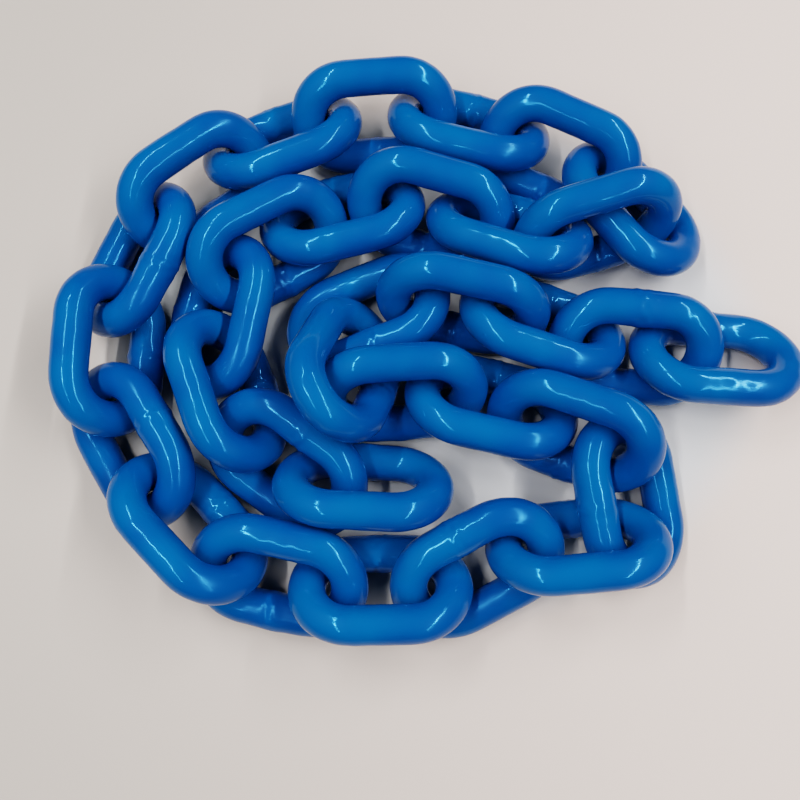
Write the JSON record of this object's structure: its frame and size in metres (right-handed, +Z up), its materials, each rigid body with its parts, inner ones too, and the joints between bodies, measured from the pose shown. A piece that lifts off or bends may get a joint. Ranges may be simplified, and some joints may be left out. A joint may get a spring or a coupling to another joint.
{
  "type": "heap of lifting chain",
  "caption": "Heap of short-link lifting chain with a thick glossy blue coating, laid on the floor in a flat spiral with both ends free.",
  "frame": {"origin": "on the floor, under the middle of the box round the whole heap", "axes": "+Z up from the floor; +X along the longer side of the heap, towards the free end that sticks out; +Y away from the side that the picture was taken from"},
  "size_m": [0.2136, 0.1694, 0.0393],
  "materials": {
    "blue_coating": "thick glossy coating over welded steel"
  },
  "bodies": {
    "root": {"link_01": "blue_coating", "link_02": "blue_coating", "link_03": "blue_coating", "link_04": "blue_coating", "link_05": "blue_coating", "link_06": "blue_coating", "link_07": "blue_coating", "link_08": "blue_coating", "link_09": "blue_coating", "link_10": "blue_coating", "link_11": "blue_coating", "link_12": "blue_coating", "link_13": "blue_coating", "link_14": "blue_coating", "link_15": "blue_coating", "link_16": "blue_coating", "link_17": "blue_coating", "link_18": "blue_coating", "link_19": "blue_coating", "link_20": "blue_coating", "link_21": "blue_coating", "link_22": "blue_coating", "link_23": "blue_coating", "link_24": "blue_coating", "link_25": "blue_coating", "link_26": "blue_coating", "link_27": "blue_coating", "link_28": "blue_coating", "link_29": "blue_coating", "link_30": "blue_coating", "link_31": "blue_coating", "link_32": "blue_coating", "link_33": "blue_coating"}
  },
  "joints": []
}
